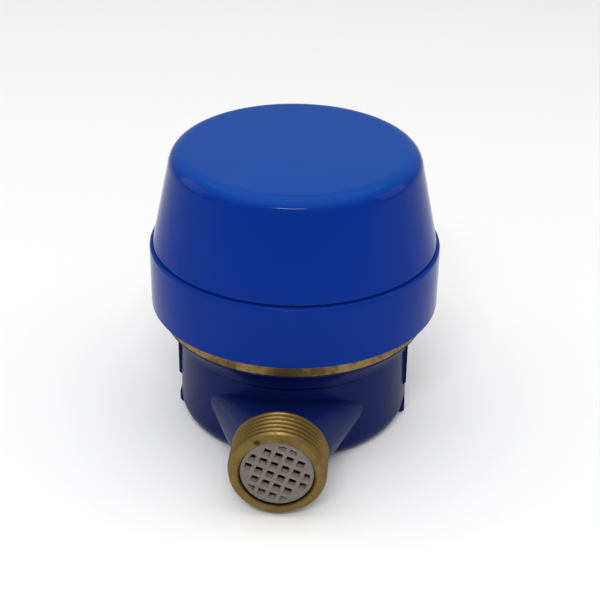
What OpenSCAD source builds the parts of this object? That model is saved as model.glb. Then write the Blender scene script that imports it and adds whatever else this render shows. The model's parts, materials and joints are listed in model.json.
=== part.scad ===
// Single-jet water meter with a dry register and a hinged lid.
// The pipe runs along Y with the inlet at -Y, and the meter stands on z = 0.

/* [Ports] */
// Length over the two port faces
port_l = 115; // [108:1:165]
// Outside diameter of the port threads
thread_d = 26.44; // [25:0.01:30]
// Length of each threaded end
thread_l = 10; // [8:0.5:13]
// Chamfer at the start of each thread
thread_chamfer = 0.6; // [0.4:0.1:1.4]
// Depth of the thread form, which sets the neck behind it
thread_depth = 1.16; // [0.8:0.02:1.6]
// Bore of the ports
bore_d = 15; // [12:0.5:16.5]
// Height of the threads over the base
thread_rise = 1; // [0.5:0.1:4]
// Half width of each neck where it meets the body
neck_root_w = 21.5; // [18:0.5:23]
// Rounding of the neck where it meets the body
neck_round = 4.2; // [3:0.1:6]
// Diameter of the jets that lead into the chamber
jet_d = 10.5; // [8:0.25:12]
// Lean of the jets away from the pipe axis
jet_lean = 30; // [24:1:34]

/* [Body] */
// Radius of the measuring chamber
chamber_r = 28.5; // [27:0.25:34]
// Wall of the chamber
body_wall = 4.3; // [3:0.1:6]
// Extra radius of the wall at its foot
belly = 0.4; // [0:0.1:2]
// Floor of the chamber
floor_t = 3.5; // [2.5:0.25:4.5]
// Rounding of the base edge
base_round = 5; // [2:0.25:6]
// Height of the clamp ring's seat over the pipe axis
seat_rise = 17.9; // [17:0.1:24]
// Height of the flare below the clamp ring
flare_h = 6.25; // [3.5:0.25:8]
// Radius of the cove in the flare
cove_r = 7; // [6:0.25:12]
// Step of the collar over the wall
collar_step = 1.3; // [0.6:0.1:2]
// Width of the grip lugs
lug_w = 10; // [6:0.5:14]
// Reach of the grip lugs past the wall
lug_out = 0.7; // [0.4:0.1:2]
// Height of the upper lugs' lower end over the base
lug_z = 10.4; // [8:0.2:12]
// Height of the lower lugs
lug_low_h = 3.6; // [2:0.2:4.5]

/* [Strainer] */
// Radius of the strainer
strainer_r = 10.1; // [9:0.1:10.8]
// Step in the strainer's front edge
strainer_step = 0.3; // [0.1:0.05:0.6]
// Thickness of the strainer's grid
strainer_t = 1.8; // [1.2:0.1:2.5]
// Length of the strainer's skirt
strainer_l = 6; // [4:0.5:8]
// Wall of the strainer's skirt
strainer_wall = 1; // [0.6:0.1:1.4]
// Depth of the strainer below the port face
strainer_sink = 0.4; // [0.1:0.1:1.5]
// Distance between the grid's openings
grid_pitch = 3.15; // [2.5:0.05:4]
// Bars between the grid's openings
grid_bar = 1; // [0.7:0.05:1.3]
// Turn of the grid in its seat
grid_turn = -21; // [-45:1:45]

/* [Impeller] */
// Number of blades
blades = 8; // [6:1:10]
// Thickness of the blades
blade_t = 1.2; // [0.8:0.1:2]
// Gap between the blades and the chamber wall
blade_gap = 1.5; // [0.8:0.1:3]
// Height of the blades
blade_h = 14; // [11:0.5:15]
// Radius of the hub
hub_r = 6; // [5:0.25:8]
// Radius of the pivots
pivot_r = 0.8; // [0.6:0.05:1.2]
// Outer radius of the two magnets
magnet_r = 8; // [6.5:0.25:8.5]
// Height of the two magnets
magnet_h = 3.3; // [2:0.1:3.6]
// Radius of the boss that carries the drive magnet
magnet_boss_r = 2.5; // [2:0.1:3.5]

/* [Pressure plate and clamp ring] */
// Width of the plate's seat in the body
seat_w = 2.7; // [2:0.1:4]
// Depth of the plate's seat
seat_depth = 3; // [2:0.1:4]
// Height of the plate's flange over its seat's rim
plate_proud = 0.2; // [0.1:0.05:0.5]
// Depth of the plate's dish below its seat
plate_depth = 9; // [8:0.25:10]
// Floor of the plate's dish
plate_floor = 2.3; // [1.6:0.1:3]
// Wall of the plate's dish
plate_wall = 2.8; // [2.2:0.1:4]
// Section diameter of the seal ring
seal_d = 1.56; // [1.2:0.02:1.8]
// Ribs under the plate
plate_ribs = 6; // [4:1:8]
// Thickness of the ribs under the plate
plate_rib_t = 1.5; // [1:0.1:2]
// Length of the neck that carries the clamp ring
neck_l = 6.9; // [5:0.1:9]
// Wall of that neck
neck_wall = 3.8; // [2.5:0.1:5]
// Wall of the clamp ring
ring_wall = 2.6; // [2:0.1:4]
// Lip of the clamp ring over the plate
lip_t = 2.5; // [1.5:0.1:4]
// Reach of that lip over the plate
lip_reach = 2.2; // [1.5:0.1:3]
// Notches for the ring's spanner
ring_notches = 4; // [3:1:8]

/* [Housing] */
// Wall of the register housing
house_wall = 3; // [2:0.1:4]
// Height of the register housing
house_h = 18; // [16:0.25:19]
// Overlap of the housing and the clamp ring
house_overlap = 4.9; // [4:0.1:6]
// Top plate of the housing
house_top_t = 2; // [1.4:0.1:3]
// Height of the raised rim inside the lid
rim_h = 2; // [1:0.1:3]
// Width of the raised rim inside the lid
rim_w = 1.2; // [0.8:0.1:1.8]
// Ribs that press on the register case
house_ribs = 8; // [6:1:12]
// Edge rounding of the housing
house_round = 0.8; // [0.3:0.1:1.5]

/* [Lid] */
// Ledge left uncovered around the lid
ledge_w = 1; // [0.6:0.1:2]
// Gap between the ledge and the lid's rim
lid_gap = 0.6; // [0.4:0.1:1.2]
// Inward draw of the lid from its rim to its top
lid_draw = 5.75; // [4:0.25:6.5]
// Rounding of the lid's top edge
lid_round = 4.75; // [3:0.25:8]
// Wall of the lid
lid_t = 2; // [1.4:0.1:2.4]
// Height of the lid
lid_h = 27.2; // [20:0.2:34]
// Radius of the hinge knuckles
knuckle_r = 2.6; // [2.2:0.1:3.2]
// Radius of the hinge pin
hinge_r = 1; // [0.7:0.05:1.3]
// Length of the lid's knuckle
knuckle_l = 13.6; // [10:0.2:18]
// Length of each knuckle on the housing
knuckle_side_l = 6; // [4:0.2:8]
// Distance of the hinge axis behind the housing wall
hinge_out = 2.6; // [2.5:0.1:3.4]
// Height of the hinge axis over the lid's rim
hinge_rise = 1.4; // [1.2:0.1:1.6]
// Height of the hinge ears on the housing
ear_h = 9; // [6:0.5:12]

/* [Register case] */
// Free width between the case and the housing
moat = 5; // [4.5:0.1:6]
// Wall of the register case
case_wall = 1.6; // [1.2:0.1:2]
// Floor of the register case
case_floor = 1.8; // [1.2:0.1:2.5]
// Width of the case's foot flange
case_flange_w = 3.5; // [2.5:0.1:4]
// Wall of the well that holds the follower magnet
well_wall = 1.2; // [1:0.1:1.6]
// Height of the lens
lens_t = 2.9; // [2:0.1:4]
// Height of the lens gasket
gasket_t = 0.7; // [0.5:0.05:1]
// Wall of the bezel
bezel_wall = 1.35; // [1:0.05:1.8]
// Lip of the bezel over the lens
bezel_lip = 1.2; // [0.8:0.1:2]
// Height of the bezel's skirt below the lens
bezel_skirt = 5.5; // [3:0.25:8]
// Thickness of the dial plate
dial_t = 0.6; // [0.4:0.05:1]
// Thickness of the star and the pointer
hand_t = 0.8; // [0.5:0.05:1]
// Length of the pointer
pointer_l = 5; // [4:0.25:6]
// Radius of the flow star
star_r = 4; // [3:0.25:4.5]
// Points of the flow star
star_points = 8; // [5:1:10]

/* [Movement] */
// Module of the wheels
wheel_m = 0.5; // [0.45:0.01:0.52]
// Teeth of the follower's pinion and the first wheel's pinion
pinion_n = 8; // [8:1:9]
// Teeth of the first wheel
first_n = 40; // [36:1:42]
// Teeth of the second wheel
second_n = 48; // [44:1:50]
// Teeth of the second wheel's pinion
slow_pinion_n = 10; // [9:1:11]
// Teeth of the third wheel
third_n = 50; // [46:1:52]
// Thickness of the wheels
wheel_t = 1; // [0.8:0.05:1.1]
// Thickness of the movement plate and the upper bridge
plate_t = 1.2; // [1:0.1:1.6]
// Radius of the wheels' arbors
arbor_r = 0.8; // [0.6:0.05:1]
// Place of the third wheel, right of the meter's axis
third_x = 15; // [14.5:0.1:15.2]
// Lean of the line from the third to the second wheel
second_lean = 10; // [6:1:14]
// Radius of the pillars
pillar_r = 2; // [1.6:0.1:2.4]
// Distance of the pillars from the meter's axis
pillar_at = 27.5; // [26.5:0.1:28]
// Length of the frame screws below the bridge
screw_l = 4.5; // [3:0.1:5]
// Height of the frame screws' heads
screw_head_h = 0.65; // [0.5:0.05:0.8]
// Width of the arm that holds the third wheel's upper end
arm_w = 4; // [3:0.1:4.4]

/* [Number wheels] */
// Number of number wheels
drums = 8; // [8:1:8]
// Radius of the number wheels
drum_r = 5; // [4.8:0.05:5.2]
// Width of a number wheel's rim
drum_w = 2.4; // [2.2:0.05:2.6]
// Distance between number wheels
drum_pitch = 3.6; // [3.5:0.05:3.8]
// Place of the number wheels behind the meter's axis
drum_y = 10; // [9:0.1:10.2]
// Radius of the number wheels' shaft
drum_shaft_r = 0.8; // [0.6:0.05:1]
// Radius of the carry pinions' shaft
carry_shaft_r = 0.6; // [0.5:0.05:0.8]
// Module of the carry teeth
carry_m = 0.44; // [0.42:0.01:0.45]
// Carry teeth on a number wheel
ring_n = 20; // [20:1:20]
// Teeth of a carry pinion
carry_n = 8; // [8:1:8]
// Teeth of the pinion that drives the first number wheel
crown_n = 10; // [10:1:10]

/* [Clearances] */
// Running clearance of shafts in their bearings
run_gap = 0.05; // [0.03:0.01:0.1]
// Clearance of fixed pins in their seats
seat_gap = 0.02; // [0.01:0.01:0.04]
// Clearance between moving pieces
free_gap = 0.3; // [0.25:0.05:0.4]
// Play between teeth in mesh
tooth_play = 0.16; // [0.1:0.02:0.2]
// Play between the crown teeth and their pinion
crown_play = 0.34; // [0.28:0.02:0.4]

/* [Hidden] */
$fn = 96;
pressure = 20;
// Step between a rounded corner's circle and the flats beside it
hair = 0.02;

// Heights and radii of the wet side
axis_z = thread_d / 2 + thread_rise;
body_r = chamber_r + body_wall;
belly_r = body_r + belly;
collar_r = body_r + collar_step;
seat_r = chamber_r + seat_w;
neck_r = seat_r + neck_wall;
ring_r = neck_r + free_gap / 3 + ring_wall;
shoulder_z = axis_z + seat_rise;
collar_z = shoulder_z - flare_h;
neck_top = shoulder_z + neck_l;
plate_seat_z = neck_top - seat_depth;
plate_under = plate_seat_z - plate_depth;
dish_floor_z = plate_under + plate_floor;
plate_top = neck_top + plate_proud;
ring_top = plate_top + lip_t;
spigot_r = chamber_r - free_gap / 2;
seal_z = (plate_under + plate_seat_z) / 2;
seal_at = chamber_r - seat_gap - seal_d / 2;
boss_z = floor_t + 1.5;
hub_z = boss_z + 2 * free_gap;
blade_z = axis_z - blade_h / 2;
hub_top = blade_z + blade_h + free_gap;
bearing_drop = 0.8;
stub_top = plate_under + 1.2;
thread_r = thread_d / 2;
pipe_r = thread_r - thread_depth;
thread_y = port_l / 2 - thread_l;
grid_phase = [0.5, 0.33];

// Heights and radii of the housing and the lid
house_in_r = ring_r + free_gap;
house_r = house_in_r + house_wall;
house_z = ring_top - house_overlap;
ledge_z = house_z + house_h;
lid_z = ledge_z + lid_gap;
lid_rim_r = house_r - ledge_w;
lid_in_r = lid_rim_r - lid_t;
hinge_y = house_r + hinge_out;
hinge_z = lid_z + hinge_rise;
hook_z = house_z + 1.4;
hook_h = 1.2;
hook_reach = 0.7;

// Heights and radii of the register
case_z = ring_top;
case_r = house_in_r - moat;
case_in_r = case_r - case_wall;
flange_r = case_r + case_flange_w;
well_r = magnet_r + 3 * free_gap + well_wall;
well_z = dish_floor_z + free_gap;
well_floor = well_z + well_wall;
plate_z = case_z + case_floor;
wheel_low_z = plate_z + plate_t + free_gap + 0.2;
wheel_high_z = wheel_low_z + wheel_t + 0.8;
drum_z = wheel_high_z + wheel_t + 0.7 + drum_r;
bridge_z = drum_z + drum_r + free_gap;
dial_z = bridge_z + plate_t;
hand_z = dial_z + dial_t + 0.4;
case_top = hand_z + hand_t + 0.2;
lens_z = case_top + gasket_t;
bezel_top = lens_z + lens_t + bezel_lip;
bezel_z = case_top - bezel_skirt;
bezel_in_r = case_r - 0.6;
bezel_r = bezel_in_r + seat_gap + bezel_wall;
dial_r = case_in_r - 2 * free_gap;

// Teeth: heights over and under the pitch circle, in modules
pinion_add = 0.9;
wheel_add = 0.5;
tooth_clear = 0.25;

// Places of the wheels, from the centre distances of their teeth
first_dist = wheel_m * (pinion_n + first_n) / 2;
second_dist = wheel_m * (pinion_n + second_n) / 2;
third_dist = wheel_m * (slow_pinion_n + third_n) / 2;
third_at = [third_x, drum_y];
second_at = third_at - third_dist * [sin(second_lean), cos(second_lean)];
first_at = meet([0, 0], first_dist, second_at, second_dist);

// Number wheels, counted from the right
crown_r = carry_m * ring_n / 2;
crown_pinion_r = carry_m * crown_n / 2;
crown_x = third_x - crown_pinion_r;
crown_root = 0.5;
drum_x = crown_x - crown_root;
gear_w = 0.5;
carry_w = 0.9;
carry_dist = carry_m * (ring_n + carry_n) / 2;
carry_y = drum_y + carry_dist;
cheek_t = 1.5;
cheek_left = drum_x - (drums - 1) * drum_pitch - drum_w - 0.7;
cheek_right = third_x + crown_pinion_r + 0.7;
crown_z = drum_z - crown_r;
crown_w = 0.7;

// Point at distance ra from a and rb from b, on the right of the way from a to b
function meet(a, ra, b, rb) =
    let (d = norm(b - a), u = (b - a) / d, t = (ra * ra - rb * rb + d * d) / (2 * d))
    a + t * u + sqrt(ra * ra - t * t) * [u[1], -u[0]];

// Involute angle, in degrees
function involute(a) = tan(a) * 180 / PI - a;

// Half angle of a tooth at radius r
function half_tooth(r, rp, n, play) =
    let (rb = rp * cos(pressure))
    90 / n - play / 4 / rp * 180 / PI + involute(pressure) - (r > rb ? involute(acos(rb / r)) : 0);

// Turn of a wheel of n2 teeth that meshes with one of n1 teeth, unturned, which lies at angle a from it
function mesh_turn(n1, n2, a) = a - 180 / n2 + (a + 180) * n1 / n2;

// Outline of a gear with one tooth on the X axis
module gear(n, m, add, ded, play) {
    rp = m * n / 2;
    root = rp - m * ded;
    tip = rp + m * add;
    polygon([
        for (i = [0:n - 1], side = [-1, 1], k = [0:2])
            let (r = [root, rp, tip][side < 0 ? k : 2 - k])
            let (a = i * 360 / n + side * half_tooth(r, rp, n, play))
            r * [cos(a), sin(a)]
    ]);
}

// Pinion with long teeth, and wheel with short teeth that clear its roots
module pinion_teeth(n, m, play) {
    gear(n, m, pinion_add, wheel_add + tooth_clear, play);
}

module wheel_teeth(n, m, play) {
    gear(n, m, wheel_add, pinion_add + tooth_clear, play);
}

// Disc or tube between two heights
module disc(r, z0, z1, hole = 0) {
    translate([0, 0, z0])
        difference() {
            cylinder(r = r, h = z1 - z0);
            if (hole > 0)
                translate([0, 0, -1])
                    cylinder(r = hole, h = z1 - z0 + 2);
        }
}

// Shaft along X between two places
module cross_shaft(r, x0, x1, y, z) {
    translate([x0, y, z])
        rotate([0, 90, 0])
            cylinder(r = r, h = x1 - x0);
}

// Outline in the plane of Y and Z, carried along X
module along_x(x0, x1) {
    translate([x0, 0, 0])
        rotate([90, 0, 90])
            linear_extrude(x1 - x0)
                children();
}

// Outer section of the body, with a rounded base edge and a coved flare
module body_section() {
    flare_r = ring_r - 0.1;
    lip_h = 0.6;
    chord = [flare_r - collar_r, flare_h - lip_h];
    middle = [collar_r, collar_z] + chord / 2;
    out = [chord[1], -chord[0]] / norm(chord);
    cove_at = middle + out * sqrt(cove_r * cove_r - norm(chord) * norm(chord) / 4);
    difference() {
        union() {
            polygon([
                [0, 0], [belly_r - base_round, 0], [belly_r - base_round, base_round], [belly_r, base_round],
                [body_r, collar_z - collar_step], [collar_r, collar_z], [flare_r, shoulder_z - lip_h],
                [flare_r, shoulder_z], [neck_r, shoulder_z], [neck_r, neck_top], [0, neck_top]
            ]);
            translate([belly_r - base_round, base_round])
                circle(r = base_round - hair);
        }
        translate(cove_at)
            circle(r = cove_r);
    }
}

// Threaded end and neck of one port, at -Y
module port() {
    root_y = sqrt(body_r * body_r - neck_root_w * neck_root_w);
    translate([0, -thread_y, axis_z])
        rotate([90, 0, 0])
            rotate_extrude()
                polygon([
                    [0, 0], [thread_r, 0], [thread_r, thread_l - thread_chamfer],
                    [thread_r - thread_chamfer, thread_l], [0, thread_l]
                ]);
    hull() {
        translate([0, -thread_y, axis_z])
            rotate([90, 0, 0])
                cylinder(r = pipe_r, h = 0.5, $fn = 48);
        for (x = [-1, 1])
            translate([x * (neck_root_w - neck_round), -root_y, axis_z])
                sphere(r = neck_round, $fn = 32);
    }
}

// Water way of one port, at -Y, from the strainer's pocket to the chamber
module water_way() {
    face_y = port_l / 2;
    turn_y = thread_y - 3;
    translate([0, -face_y - 1, axis_z])
        rotate([-90, 0, 0])
            cylinder(r = bore_d / 2, h = face_y + 1 - turn_y);
    translate([0, -turn_y - jet_d / 4, axis_z])
        rotate([-90, 0, -jet_lean])
            rotate(40)
                cylinder(r = jet_d / 2, h = turn_y - chamber_r / 3);
}

// Grip lugs on the +X side: a tall one below the flare and a low one at the base
module grip_lugs() {
    lug_r = body_r + lug_out;
    low_r = belly_r + lug_out / 4;
    translate([0, lug_w / 2, 0])
        rotate([90, 0, 0])
            linear_extrude(lug_w) {
                polygon([
                    [chamber_r + 1, lug_z], [lug_r - lug_out, lug_z], [lug_r, lug_z + lug_out],
                    [lug_r, collar_z + lug_out], [chamber_r + 1, collar_z + lug_out]
                ]);
                polygon([
                    [chamber_r + 1, lug_out], [low_r - lug_out, lug_out], [low_r, 2 * lug_out],
                    [low_r, lug_out + lug_low_h], [chamber_r + 1, lug_out + lug_low_h]
                ]);
            }
}

module meter_body() {
    color("midnightblue")
        difference() {
            union() {
                difference() {
                    union() {
                        rotate_extrude()
                            body_section();
                        for (side = [0, 1])
                            mirror([0, side, 0])
                                port();
                        for (side = [0, 1])
                            mirror([side, 0, 0])
                                grip_lugs();
                    }
                    disc(chamber_r, floor_t, neck_top + 1);
                    disc(seat_r, plate_seat_z, neck_top + 1);
                }
                disc(3, floor_t - 1, boss_z);
            }
            for (side = [0, 1])
                mirror([0, side, 0])
                    water_way();
            translate([0, -port_l / 2 - 1, axis_z])
                rotate([-90, 0, 0])
                    cylinder(r = strainer_r + seat_gap * 2, h = strainer_l + strainer_sink + 1);
            disc(pivot_r + seat_gap, floor_t - 1, boss_z + 1);
        }
}

module inlet_strainer() {
    front_r = strainer_r - strainer_step;
    inner_r = front_r - strainer_wall;
    cells = ceil(inner_r / grid_pitch);
    color("gainsboro")
        translate([0, -port_l / 2 + strainer_sink, axis_z])
            rotate([-90, 0, 0])
                difference() {
                    rotate_extrude()
                        polygon([
                            [0, 0], [front_r, 0], [front_r, strainer_t], [strainer_r, strainer_t],
                            [strainer_r, strainer_l], [0, strainer_l]
                        ]);
                    translate([0, 0, strainer_t])
                        cylinder(r = inner_r, h = strainer_l);
                    translate([0, 0, -1])
                        linear_extrude(strainer_t + 2)
                            intersection() {
                                circle(r = inner_r);
                                rotate(-grid_turn)
                                    for (i = [-cells:cells], j = [-cells:cells])
                                        if (norm([i, j] + grid_phase) * grid_pitch < inner_r)
                                            translate(([i, j] + grid_phase) * grid_pitch)
                                                square(grid_pitch - grid_bar, center = true);
                            }
                }
}

module lower_pivot() {
    color("silver")
        disc(pivot_r, floor_t - 1, hub_z + 2.4);
}

module impeller() {
    blade_r = chamber_r - blade_gap;
    color("white")
        difference() {
            union() {
                disc(hub_r, hub_z, hub_top);
                disc(magnet_r + 1, hub_top - 1.3, hub_top);
                disc(magnet_boss_r, hub_top - 1, hub_top + magnet_h);
                disc(pivot_r, hub_top, stub_top);
                for (i = [0:blades - 1])
                    rotate(i * 360 / blades)
                        translate([hub_r - 1, -blade_t / 2, blade_z])
                            cube([blade_r - hub_r + 1, blade_t, blade_h]);
            }
            disc(pivot_r + run_gap, hub_z - 1, hub_z + 2.5);
        }
}

module drive_magnet() {
    color("dimgray")
        disc(magnet_r, hub_top, hub_top + magnet_h, magnet_boss_r + seat_gap);
}

module pressure_plate() {
    groove_r = seal_at - seal_d / 2 - seat_gap;
    groove_h = seal_d + 2 * seat_gap;
    rib_in = 1.5 * magnet_r;
    rib_out = spigot_r - plate_wall;
    color("peru")
        difference() {
            union() {
                disc(spigot_r, plate_under, plate_seat_z + 1);
                disc(seat_r - free_gap / 2, plate_seat_z, plate_top);
                disc(pivot_r + 1.4, plate_under - bearing_drop, plate_under + 1);
                for (i = [0:plate_ribs - 1])
                    rotate(i * 360 / plate_ribs)
                        translate([rib_in, -plate_rib_t / 2, plate_under - plate_rib_t])
                            cube([rib_out - rib_in, plate_rib_t, 2 * plate_rib_t]);
            }
            disc(spigot_r - plate_wall, dish_floor_z, plate_top + 1);
            disc(spigot_r + 1, seal_z - groove_h / 2, seal_z + groove_h / 2, groove_r);
            disc(pivot_r + run_gap, plate_under - bearing_drop - 1, stub_top + 0.1);
        }
}

module plate_seal() {
    color("black")
        translate([0, 0, seal_z])
            rotate_extrude()
                translate([seal_at, 0])
                    circle(r = seal_d / 2, $fn = 32);
}

module clamp_ring() {
    thread_in = neck_r + free_gap / 3;
    lip_r = seat_r - lip_reach;
    groove_r = ring_r - hook_reach + free_gap;
    color("darkgoldenrod")
        difference() {
            rotate_extrude()
                polygon([
                    [thread_in, shoulder_z], [ring_r, shoulder_z], [ring_r, hook_z - 0.2], [groove_r, hook_z - 0.2],
                    [groove_r, hook_z + hook_h + 0.2], [ring_r, hook_z + hook_h + 0.2], [ring_r, ring_top],
                    [lip_r, ring_top], [lip_r, plate_top], [thread_in, plate_top]
                ]);
            for (i = [0:ring_notches - 1])
                rotate(i * 360 / ring_notches + 45)
                    translate([lip_r - 1, -2.5, plate_top - 1])
                        cube([2, 5, lip_t + 2]);
        }
}

module register_case() {
    color("darkslategray")
        difference() {
            union() {
                disc(flange_r, case_z, case_z + case_floor + 0.2);
                disc(case_r, case_z, bezel_z);
                disc(bezel_in_r, bezel_z - 1, case_top);
                disc(well_r, well_z, case_z + 1);
            }
            disc(case_in_r, plate_z, case_top + 1);
            difference() {
                disc(well_r - well_wall, well_floor, case_top);
                disc(pivot_r + 1.2, well_floor - 1, well_floor + 1.2);
            }
            disc(pivot_r + run_gap, well_floor - 0.3, well_floor + 2);
        }
}

module follower_spindle() {
    carrier_z = well_floor + 1.2 + free_gap;
    color("ivory") {
        disc(pivot_r, well_floor - 0.2, wheel_low_z + wheel_t + free_gap);
        disc(magnet_boss_r + 1.5, carrier_z, carrier_z + 0.4);
        disc(magnet_boss_r, carrier_z, carrier_z + 0.4 + magnet_h + 0.5);
        translate([0, 0, wheel_low_z - 0.2])
            linear_extrude(wheel_t + 0.4)
                pinion_teeth(pinion_n, wheel_m, tooth_play);
    }
}

module follower_magnet() {
    z = well_floor + 1.2 + free_gap + 0.4;
    color("dimgray")
        disc(magnet_r, z, z + magnet_h, magnet_boss_r + seat_gap);
}

// Places of the pillars that carry the bridge
module at_pillars() {
    for (a = [80, 150, 225, 300])
        rotate(a)
            translate([pillar_at, 0, 0])
                rotate(-a)
                    children();
}

module movement_plate() {
    color("beige")
        difference() {
            union() {
                disc(case_in_r - free_gap, plate_z, plate_z + plate_t);
                at_pillars()
                    disc(pillar_r, plate_z, bridge_z);
            }
            disc(pivot_r + run_gap, plate_z - 1, plate_z + plate_t + 1);
            for (at = [first_at, second_at, third_at])
                translate(at)
                    disc(arbor_r + run_gap, plate_z + 0.2, plate_z + plate_t + 1);
            at_pillars()
                disc(arbor_r + seat_gap, bridge_z - screw_l - 0.5, bridge_z + 1);
        }
}

// Spoked wheel on its arbor
module arbor_wheel(at, top, n, z, turn) {
    rim_r = wheel_m * n / 2 - 4 * wheel_m;
    translate(at) {
        disc(arbor_r, plate_z + 0.3, top);
        translate([0, 0, z])
            linear_extrude(wheel_t)
                difference() {
                    rotate(turn)
                        wheel_teeth(n, wheel_m, tooth_play);
                    difference() {
                        circle(r = rim_r);
                        circle(r = 7 * wheel_m);
                        for (a = [0, 60, 120])
                            rotate(a)
                                square([2 * rim_r + wheel_t, 2 * arbor_r], center = true);
                    }
                }
    }
}

// Pinion on the arbor of the wheel at wheel_z, with the hub between the two
module arbor_pinion(at, n, z, wheel_z) {
    translate(at) {
        translate([0, 0, z - 0.2])
            linear_extrude(wheel_t + 0.4)
                pinion_teeth(n, wheel_m, tooth_play);
        disc(n * wheel_m / 2 - wheel_m, min(wheel_z, z), max(wheel_z, z) + wheel_t);
    }
}

module first_wheel() {
    turn = mesh_turn(pinion_n, first_n, atan2(-first_at[1], -first_at[0]));
    color("ivory") {
        arbor_wheel(first_at, hand_z + hand_t, first_n, wheel_low_z, turn);
        arbor_pinion(first_at, pinion_n, wheel_high_z, wheel_low_z);
    }
}

module second_wheel() {
    way = first_at - second_at;
    turn = mesh_turn(pinion_n, second_n, atan2(way[1], way[0]));
    color("ivory") {
        arbor_wheel(second_at, hand_z + hand_t, second_n, wheel_high_z, turn);
        arbor_pinion(second_at, slow_pinion_n, wheel_low_z, wheel_high_z);
    }
}

module third_wheel() {
    way = second_at - third_at;
    turn = mesh_turn(slow_pinion_n, third_n, atan2(way[1], way[0]));
    top = crown_z + crown_w / 2 + free_gap + plate_t;
    color("ivory") {
        arbor_wheel(third_at, top, third_n, wheel_low_z, turn);
        translate([third_x, drum_y, crown_z - crown_w / 2])
            linear_extrude(crown_w)
                rotate(180 / crown_n)
                    pinion_teeth(crown_n, carry_m, crown_play);
    }
}

// Cheek of the bridge that holds both cross shafts
module cheek(x) {
    along_x(x, x + cheek_t)
        difference() {
            translate([drum_y - 3, drum_z - 3])
                square([carry_dist + 5.5, bridge_z - drum_z + 3.5]);
            translate([drum_y, drum_z])
                circle(r = drum_shaft_r + seat_gap, $fn = 32);
            translate([carry_y, drum_z])
                circle(r = carry_shaft_r + seat_gap, $fn = 32);
        }
}

module upper_bridge() {
    arm_z = crown_z + crown_w / 2 + free_gap;
    window_l = (drums - 1) * drum_pitch + drum_w;
    color("beige") {
        difference() {
            disc(dial_r, bridge_z, dial_z);
            translate([drum_x - window_l, drum_y - drum_r * 0.6, bridge_z - 1])
                cube([window_l, drum_r * 1.2, plate_t + 2]);
            for (at = [first_at, second_at])
                translate(at)
                    disc(arbor_r + run_gap, bridge_z - 1, dial_z + 1);
            at_pillars() {
                disc(arbor_r + seat_gap, bridge_z - 1, dial_z + 1);
                disc(pillar_r - 0.1, dial_z - screw_head_h - 0.1, dial_z + 1);
            }
        }
        cheek(cheek_left - cheek_t);
        cheek(cheek_right);
        difference() {
            translate([crown_x + free_gap * 2, drum_y - arm_w / 2, arm_z])
                cube([cheek_right + cheek_t - crown_x - free_gap * 2, arm_w, plate_t]);
            translate(third_at)
                disc(arbor_r + run_gap, arm_z - 1, arm_z + plate_t + 1);
        }
        translate([cheek_right, drum_y - arm_w / 2, arm_z])
            cube([cheek_t, arm_w, drum_z - drum_r / 2 - arm_z]);
    }
}

module frame_screws() {
    color("silver")
        at_pillars() {
            disc(arbor_r, bridge_z - screw_l, dial_z - 0.1);
            disc(pillar_r - 0.3, dial_z - 0.1 - screw_head_h, dial_z - 0.1);
        }
}

module number_shaft() {
    color("silver")
        cross_shaft(drum_shaft_r, cheek_left - cheek_t, cheek_right + cheek_t, drum_y, drum_z);
}

module pinion_shaft() {
    color("silver")
        cross_shaft(carry_shaft_r, cheek_left - cheek_t, cheek_right + cheek_t, carry_y, drum_z);
}

// Section of a number wheel's carry teeth: all of them, or the two that turn the next wheel
module carry_ring(count) {
    root = carry_m * (ring_n / 2 - pinion_add - tooth_clear);
    intersection() {
        wheel_teeth(ring_n, carry_m, tooth_play);
        union() {
            circle(r = root);
            if (count == ring_n)
                circle(r = 2 * root);
            else
                polygon([[0, 0], 2 * root * [-cos(18), -sin(18)], 2 * root * [-cos(18), sin(18)]]);
        }
    }
}

// Crown teeth on the right face of the first number wheel
module crown_teeth() {
    half = PI * carry_m / 4 - crown_play / 4;
    tip = 0.12;
    for (i = [0:ring_n - 1])
        translate([drum_x, drum_y, drum_z])
            rotate([i * 360 / ring_n, 0, 0])
                translate([0, 0, crown_r - 0.25])
                    linear_extrude(0.5)
                        polygon([
                            [-0.1, -half - crown_root * tan(pressure)], [crown_root + tip, -half + tip * tan(pressure)],
                            [crown_root + tip, half - tip * tan(pressure)], [-0.1, half + crown_root * tan(pressure)]
                        ]);
}

module number_wheel(i) {
    right = drum_x - (i - 1) * drum_pitch;
    left = right - drum_w;
    bore = drum_shaft_r + run_gap;
    color(i > 3 ? "black" : "firebrick")
        difference() {
            union() {
                cross_shaft(drum_r, left, right, drum_y, drum_z);
                if (i == 1)
                    crown_teeth();
                else
                    along_x(right - 0.1, right + gear_w)
                        translate([drum_y, drum_z])
                            carry_ring(ring_n);
                if (i < drums)
                    along_x(left - gear_w, left + 0.1)
                        translate([drum_y, drum_z])
                            carry_ring(2);
            }
            cross_shaft(bore, left - 1, right + 1, drum_y, drum_z);
        }
}

module carry_pinion(i) {
    left = drum_x - i * drum_pitch + (drum_pitch - drum_w - carry_w) / 2;
    color("ivory")
        along_x(left, left + carry_w)
            translate([carry_y, drum_z])
                difference() {
                    rotate(mesh_turn(ring_n, carry_n, 180))
                        pinion_teeth(carry_n, carry_m, tooth_play);
                    circle(r = carry_shaft_r + run_gap, $fn = 32);
                }
}

module dial_plate() {
    color("white")
        difference() {
            disc(dial_r, dial_z, dial_z + dial_t);
            for (i = [0:drums - 1])
                translate([drum_x - i * drum_pitch - drum_w + 0.1, drum_y - 2.3, dial_z - 1])
                    cube([drum_w - 0.2, 4.6, dial_t + 2]);
            for (at = [first_at, second_at])
                translate(at)
                    disc(arbor_r + free_gap, dial_z - 1, dial_z + 2);
        }
}

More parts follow.
